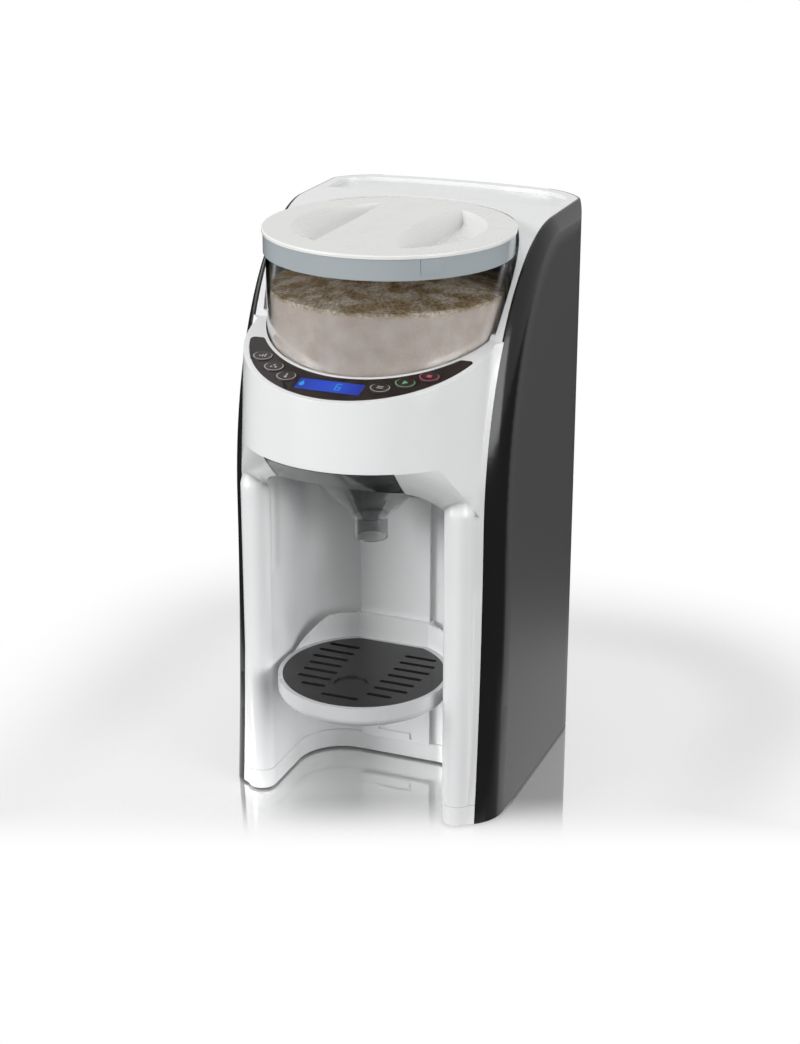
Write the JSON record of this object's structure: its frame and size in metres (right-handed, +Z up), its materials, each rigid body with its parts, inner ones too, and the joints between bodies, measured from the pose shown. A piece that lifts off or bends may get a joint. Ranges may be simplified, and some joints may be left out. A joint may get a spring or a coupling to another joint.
{
  "type": "formula dispenser",
  "caption": "Upright formula dispenser with a clear powder container on top, a sloping control crescent, a smoked funnel over a bottle bay and a drip tray on a height rail.",
  "frame": {"origin": "bottom centre of the overall bounding box, on the worktop under the rubber feet", "axes": "+Z up, +X to the right as seen from the front, -Y out of the front"},
  "size_m": [0.19, 0.2537, 0.38],
  "materials": {
    "white_shell": "glossy",
    "dark_shell": "glossy",
    "dark_base": "matte",
    "foot_rubber": "matte",
    "steel": "satin",
    "inner_plastic": "matte",
    "smoked_plastic": "clear smoked",
    "seal_rubber": "matte",
    "bare_metal": "satin",
    "clear_plastic": "clear",
    "powder": "matte",
    "wheel_plastic": "matte",
    "brass_gear": "satin",
    "black_plastic": "satin",
    "panel_gloss": "glossy",
    "display_blue": "glossy",
    "board": "matte",
    "button_grey": "glossy",
    "button_green": "glossy",
    "button_red": "glossy"
  },
  "bodies": {
    "housing": {"front_housing": "white_shell", "base_skirt": "white_shell", "right_side_shell": "dark_shell", "left_side_shell": "dark_shell", "rear_cover": "dark_shell", "bottom_cover": "dark_base", "rubber_feet": "foot_rubber", "cover_screws": "steel", "chassis_frame": "inner_plastic", "power_inlet": "dark_base", "switch_housing": "dark_base", "valve_socket": "inner_plastic", "water_pump": "dark_base", "heater": "bare_metal", "heater_bracket": "inner_plastic", "tank_hose": "seal_rubber", "pump_hose": "seal_rubber", "nozzle_hose": "seal_rubber", "water_nozzle": "inner_plastic", "gear_axle": "steel", "gear_motor": "bare_metal", "gearbox_plate": "inner_plastic", "powder_chute": "inner_plastic", "right_funnel_rail": "inner_plastic", "left_funnel_rail": "inner_plastic", "tray_rail": "white_shell", "control_panel": "panel_gloss", "display_window": "display_blue", "display_module": "dark_base", "control_board": "board", "button_switches": "dark_base"},
    "container": {"powder_container": "clear_plastic", "container_collar": "clear_plastic", "formula_powder": "powder", "scraper": "clear_plastic"},
    "lid": {"container_lid": "white_shell", "lid_seal": "seal_rubber"},
    "stirrer": {"mixing_wheel": "wheel_plastic", "dosing_disc": "wheel_plastic"},
    "drive": {"drive_gear": "inner_plastic"},
    "pinion": {"motor_pinion": "brass_gear"},
    "funnel_unit": {"funnel": "smoked_plastic"},
    "tray_carriage": {"tray_bracket": "white_shell"},
    "tray": {"drip_tray": "white_shell"},
    "grille": {"tray_grille": "black_plastic"},
    "tank": {"water_tank": "smoked_plastic", "valve_seal": "seal_rubber"},
    "tank_cover": {"tank_lid": "white_shell"},
    "valve": {"tank_valve": "inner_plastic"},
    "switch": {"power_switch": "dark_base"},
    "volume_key": {"volume_button": "button_grey"},
    "powder_key": {"powder_button": "button_grey"},
    "temperature_key": {"temperature_button": "button_grey"},
    "unit_key": {"unit_button": "button_grey"},
    "start_key": {"start_button": "button_green"},
    "stop_key": {"stop_button": "button_red"}
  },
  "joints": [
    {"name": "container_lift", "type": "slide", "parent": "housing", "child": "container", "axis": [0, 0, 1], "range_m": [0, 0.1]},
    {"name": "lid_lift", "type": "slide", "parent": "container", "child": "lid", "axis": [0, 0, 1], "range_m": [0, 0.06]},
    {"name": "mixing_spin", "type": "hinge", "parent": "container", "child": "stirrer", "pos_m": [0, -0.015, 0.29], "axis": [0, 0, 1], "continuous": true},
    {"name": "drive_spin", "type": "hinge", "parent": "housing", "child": "drive", "pos_m": [0, -0.015, 0.27], "axis": [0, 0, 1], "continuous": true},
    {"name": "pinion_spin", "type": "hinge", "parent": "housing", "child": "pinion", "pos_m": [0, 0.0102, 0.27], "axis": [0, 0, 1], "continuous": true},
    {"name": "funnel_slide", "type": "slide", "parent": "housing", "child": "funnel_unit", "axis": [0, -1, 0], "range_m": [0, 0.11]},
    {"name": "tray_height", "type": "slide", "parent": "housing", "child": "tray_carriage", "axis": [0, 0, 1], "range_m": [-0.035, 0.03]},
    {"name": "tray_pull", "type": "slide", "parent": "tray_carriage", "child": "tray", "axis": [0, -1, 0], "range_m": [0, 0.06]},
    {"name": "grille_lift", "type": "slide", "parent": "tray", "child": "grille", "axis": [0, 0, 1], "range_m": [0, 0.03]},
    {"name": "tank_lift", "type": "slide", "parent": "housing", "child": "tank", "axis": [0, 0, 1], "range_m": [0, 0.19]},
    {"name": "tank_lid_lift", "type": "slide", "parent": "tank", "child": "tank_cover", "axis": [0, 0, 1], "range_m": [0, 0.04]},
    {"name": "valve_lift", "type": "slide", "parent": "tank", "child": "valve", "axis": [0, 0, 1], "range_m": [0, 0.003], "stiffness_N_per_m": 60},
    {"name": "switch_rock", "type": "hinge", "parent": "housing", "child": "switch", "pos_m": [-0.008, 0.1236, 0.036], "axis": [0, 0, 1], "range_deg": [0, 12]},
    {"name": "volume_press", "type": "slide", "parent": "housing", "child": "volume_key", "axis": [0, 0.2607, -0.9654], "range_m": [0, 0.0008], "stiffness_N_per_m": 300},
    {"name": "powder_press", "type": "slide", "parent": "housing", "child": "powder_key", "axis": [0, 0.2607, -0.9654], "range_m": [0, 0.0008], "stiffness_N_per_m": 300},
    {"name": "temperature_press", "type": "slide", "parent": "housing", "child": "temperature_key", "axis": [0, 0.2607, -0.9654], "range_m": [0, 0.0008], "stiffness_N_per_m": 300},
    {"name": "unit_press", "type": "slide", "parent": "housing", "child": "unit_key", "axis": [0, 0.2607, -0.9654], "range_m": [0, 0.0008], "stiffness_N_per_m": 300},
    {"name": "start_press", "type": "slide", "parent": "housing", "child": "start_key", "axis": [0, 0.2607, -0.9654], "range_m": [0, 0.0008], "stiffness_N_per_m": 300},
    {"name": "stop_press", "type": "slide", "parent": "housing", "child": "stop_key", "axis": [0, 0.2607, -0.9654], "range_m": [0, 0.0008], "stiffness_N_per_m": 300}
  ],
  "couplings": [
    {"joint": "drive_spin", "follows": "mixing_spin", "ratio": 1},
    {"joint": "pinion_spin", "follows": "mixing_spin", "ratio": -2.5}
  ]
}
